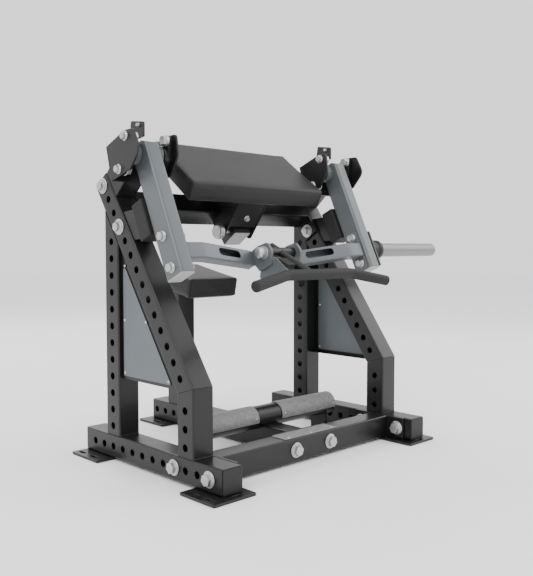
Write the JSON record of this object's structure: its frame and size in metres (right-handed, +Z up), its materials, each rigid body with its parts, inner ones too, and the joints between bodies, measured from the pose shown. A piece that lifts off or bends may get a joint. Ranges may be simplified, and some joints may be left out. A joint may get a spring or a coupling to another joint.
{
  "type": "hip thrust machine",
  "caption": "Gym machine of drilled steel tube: a hanging lever with a lifting handle and a weight horn, a sloping back pad, a small seat and a foot tube.",
  "frame": {"origin": "on the floor under the middle of the centre foot plate, in the mid-plane of the side frames", "axes": "+X to the right side frame and along the weight horn, -Y to the front where the handle is, +Z up"},
  "size_m": [1.317, 0.916, 1.006],
  "materials": {
    "black_paint": "satin black powder coat",
    "blue_grey_paint": "satin blue-grey powder coat",
    "grip_cover": "matt grey anti-slip surface",
    "bumper_rubber": "matt black rubber",
    "black_vinyl": "fine-grained black vinyl over foam",
    "bright_steel": "turned and brushed steel",
    "knob_silver": "satin silver knob and pin"
  },
  "bodies": {
    "frame": {"base_rail_left": "black_paint", "base_rail_right": "black_paint", "front_post_left": "black_paint", "front_post_right": "black_paint", "rear_upright_left": "black_paint", "rear_upright_right": "black_paint", "diagonal_left": "black_paint", "diagonal_right": "black_paint", "side_panel_left": "blue_grey_paint", "side_panel_right": "blue_grey_paint", "foot_plate_front_left": "black_paint", "foot_plate_front_right": "black_paint", "foot_plate_rear_left": "black_paint", "foot_plate_rear_right": "black_paint", "foot_plate_centre": "black_paint", "front_cross_member": "black_paint", "grip_plate": "grip_cover", "centre_spine": "black_paint", "top_crossbeam": "black_paint", "seat_post": "black_paint", "seat_bracket": "black_paint", "seat_pad": "black_vinyl", "foot_tube": "black_paint", "foot_shell_left": "grip_cover", "foot_shell_right": "grip_cover", "foot_tube_leg_left": "black_paint", "foot_tube_leg_right": "black_paint", "pivot_mount_left": "black_paint", "pivot_mount_right": "black_paint", "pivot_plate_outer_left": "black_paint", "pivot_plate_outer_right": "black_paint", "pivot_plate_inner_left": "black_paint", "pivot_plate_inner_right": "black_paint", "limiter_tab_left": "black_paint", "limiter_tab_right": "black_paint", "pivot_bearing_outer_left": "black_paint", "pivot_bearing_outer_right": "black_paint", "pivot_bearing_inner_left": "black_paint", "pivot_bearing_inner_right": "black_paint", "bumper_left": "bumper_rubber", "bumper_right": "bumper_rubber", "bumper_bracket_left": "black_paint", "bumper_bracket_right": "black_paint"},
    "lever": {"lever_arm_left": "blue_grey_paint", "lever_arm_right": "blue_grey_paint", "pivot_axle_left": "bright_steel", "pivot_axle_right": "bright_steel", "v_bar_left": "blue_grey_paint", "v_bar_right": "blue_grey_paint", "hub_pin": "bright_steel", "handle_stop": "blue_grey_paint", "horn_mount": "black_paint", "horn_sleeve": "bright_steel"},
    "handle": {"handle_stem": "black_paint", "handle_grip": "black_paint"},
    "pad_carriage": {"back_pad": "black_vinyl", "pad_yoke": "black_paint"},
    "pull_pin": {"pull_pin": "knob_silver"}
  },
  "joints": [
    {"name": "lever_swing", "type": "hinge", "parent": "frame", "child": "lever", "pos_m": [0, -0.435, 0.903], "axis": [-1, 0, 0], "range_deg": [0, 80]},
    {"name": "handle_fold", "type": "hinge", "parent": "lever", "child": "handle", "pos_m": [0, -0.614, 0.6235], "axis": [-1, 0, 0], "range_deg": [0, 90]},
    {"name": "pad_slide", "type": "slide", "parent": "frame", "child": "pad_carriage", "axis": [0, -0.5697, -0.8218], "range_m": [0, 0.04]},
    {"name": "pin_pull", "type": "slide", "parent": "pad_carriage", "child": "pull_pin", "axis": [-1, 0, 0], "range_m": [0, 0.012], "stiffness_N_per_m": 600, "springref_m": -0.005}
  ]
}
